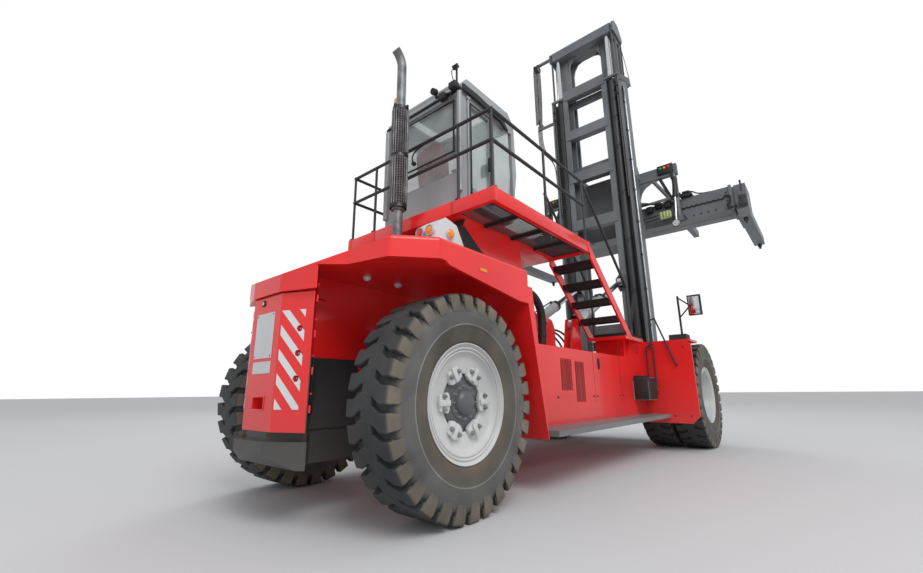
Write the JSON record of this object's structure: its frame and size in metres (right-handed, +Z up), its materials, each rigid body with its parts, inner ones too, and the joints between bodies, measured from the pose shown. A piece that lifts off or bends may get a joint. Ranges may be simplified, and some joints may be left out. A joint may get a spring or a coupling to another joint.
{
  "type": "heavy forklift truck",
  "caption": "Heavy forklift truck with a duplex mast, a top-lift container spreader, a high cab on a tower, twin front wheels and steered rear wheels.",
  "frame": {"origin": "on the ground under the middle of the whole machine's box, spreader at its 20 foot width", "axes": "+X forward to the mast and spreader, +Y to the driver's left, +Z up"},
  "size_m": [11.169, 6.06, 10.5444],
  "materials": {
    "tyre": "matt rubber",
    "rim": "satin silver paint",
    "red": "gloss red paint",
    "dark_steel": "satin dark grey paint",
    "black": "matt black",
    "cab_grey": "satin grey paint",
    "glass": "clear",
    "fabric": "woven seat cloth",
    "board": "satin grey paint",
    "mast_grey": "satin grey paint",
    "chrome": "polished",
    "silver": "satin silver paint",
    "chain": "oiled steel"
  },
  "bodies": {
    "truck": {"cab_glass": "glass", "cab_shell": "cab_grey", "console": "black", "counterweight": "dark_steel", "deck_frame": "red", "drive_axle": "dark_steel", "engine_block": "dark_steel", "exhaust_stack": "dark_steel", "fenders": "red", "frame": "red", "gratings": "black", "handrails": "dark_steel", "landings": "red", "mirrors": "black", "operator_seat": "fabric", "rear_body": "red", "rear_cover": "red", "rear_lamps": "black", "running_boards": "board", "seat_base": "black", "stair_treads": "black", "steer_axle": "dark_steel", "stringers": "red", "tilt_brackets": "red", "tower": "red"},
    "steer_right": {"knuckle_right": "dark_steel"},
    "steer_left": {"knuckle_left": "dark_steel"},
    "rear_wheel_right": {"rear_tyre_right": "tyre", "rear_rim_right": "rim"},
    "rear_wheel_left": {"rear_tyre_left": "tyre", "rear_rim_left": "rim"},
    "front_wheels_right": {"front_tyres_right": "tyre", "front_rims_right": "rim"},
    "front_wheels_left": {"front_tyres_left": "tyre", "front_rims_left": "rim"},
    "outer_mast": {"outer_mast": "mast_grey", "lift_cylinders": "mast_grey"},
    "inner_mast": {"inner_mast": "mast_grey", "lift_rods": "chrome", "lift_chains_back": "chain", "lift_chains_front": "chain"},
    "carriage": {"carriage": "mast_grey"},
    "spreader": {"spreader_beam": "mast_grey"},
    "end_right": {"end_frame_right": "mast_grey", "twistlocks_right": "chain"},
    "end_left": {"end_frame_left": "mast_grey", "twistlocks_left": "chain"},
    "tilt_barrel_right": {"tilt_barrel_right": "silver"},
    "tilt_barrel_left": {"tilt_barrel_left": "silver"},
    "tilt_rod_right": {"tilt_rod_right": "chrome"},
    "tilt_rod_left": {"tilt_rod_left": "chrome"},
    "cab_door": {"cab_door": "cab_grey", "door_glass": "glass"}
  },
  "joints": [
    {"name": "steer_right", "type": "hinge", "parent": "truck", "child": "steer_right", "pos_m": [-4.35, -1, 0.937], "axis": [0, 0, 1], "range_deg": [-45, 45]},
    {"name": "rear_wheel_spin_right", "type": "hinge", "parent": "steer_right", "child": "rear_wheel_right", "pos_m": [-4.35, -1.19, 0.937], "axis": [0, 1, 0], "continuous": true},
    {"name": "front_wheels_spin_right", "type": "hinge", "parent": "truck", "child": "front_wheels_right", "pos_m": [1.97, -1.49, 0.937], "axis": [0, 1, 0], "continuous": true},
    {"name": "steer_left", "type": "hinge", "parent": "truck", "child": "steer_left", "pos_m": [-4.35, 1, 0.937], "axis": [0, 0, 1], "range_deg": [-45, 45]},
    {"name": "rear_wheel_spin_left", "type": "hinge", "parent": "steer_left", "child": "rear_wheel_left", "pos_m": [-4.35, 1.19, 0.937], "axis": [0, 1, 0], "continuous": true},
    {"name": "front_wheels_spin_left", "type": "hinge", "parent": "truck", "child": "front_wheels_left", "pos_m": [1.97, 1.49, 0.937], "axis": [0, 1, 0], "continuous": true},
    {"name": "mast_tilt", "type": "hinge", "parent": "truck", "child": "outer_mast", "pos_m": [2.33, 0, 0.56], "axis": [0, 1, 0], "range_deg": [-10, 5]},
    {"name": "inner_mast_lift", "type": "slide", "parent": "outer_mast", "child": "inner_mast", "axis": [0, 0, 1], "range_m": [-1.1, 3.3]},
    {"name": "carriage_lift", "type": "slide", "parent": "inner_mast", "child": "carriage", "axis": [0, 0, 1], "range_m": [-1.1, 3.3], "deforming": ["lift_chains_front"]},
    {"name": "side_shift", "type": "slide", "parent": "carriage", "child": "spreader", "axis": [0, 1, 0], "range_m": [-0.3, 0.3]},
    {"name": "extend_right", "type": "slide", "parent": "spreader", "child": "end_right", "axis": [0, -1, 0], "range_m": [0, 3.05]},
    {"name": "extend_left", "type": "slide", "parent": "spreader", "child": "end_left", "axis": [0, 1, 0], "range_m": [0, 3.05]},
    {"name": "tilt_barrel_swing_right", "type": "hinge", "parent": "truck", "child": "tilt_barrel_right", "pos_m": [-0.43, -0.5, 2.13], "axis": [0, 1, 0], "range_deg": [-4.02, 2.11]},
    {"name": "tilt_rod_slide_right", "type": "slide", "parent": "tilt_barrel_right", "child": "tilt_rod_right", "axis": [0.8965, 0, 0.443], "range_m": [-0.4641, 0.2345]},
    {"name": "tilt_barrel_swing_left", "type": "hinge", "parent": "truck", "child": "tilt_barrel_left", "pos_m": [-0.43, 0.5, 2.13], "axis": [0, 1, 0], "range_deg": [-4.02, 2.11]},
    {"name": "tilt_rod_slide_left", "type": "slide", "parent": "tilt_barrel_left", "child": "tilt_rod_left", "axis": [0.8965, 0, 0.443], "range_m": [-0.4641, 0.2345]},
    {"name": "cab_door", "type": "hinge", "parent": "truck", "child": "cab_door", "pos_m": [-3.488, -0.728, 4], "axis": [0, 0, -1], "range_deg": [0, 95]}
  ],
  "couplings": [
    {"joint": "steer_left", "follows": "steer_right", "ratio": 1},
    {"joint": "carriage_lift", "follows": "inner_mast_lift", "ratio": 1},
    {"joint": "extend_left", "follows": "extend_right", "ratio": 1},
    {"joint": "tilt_barrel_swing_right", "follows": "mast_tilt", "ratio": 0.38191},
    {"joint": "tilt_rod_slide_right", "follows": "mast_tilt", "m_per_rad": 2.6303},
    {"joint": "tilt_barrel_swing_left", "follows": "mast_tilt", "ratio": 0.38191},
    {"joint": "tilt_rod_slide_left", "follows": "mast_tilt", "m_per_rad": 2.6303}
  ]
}
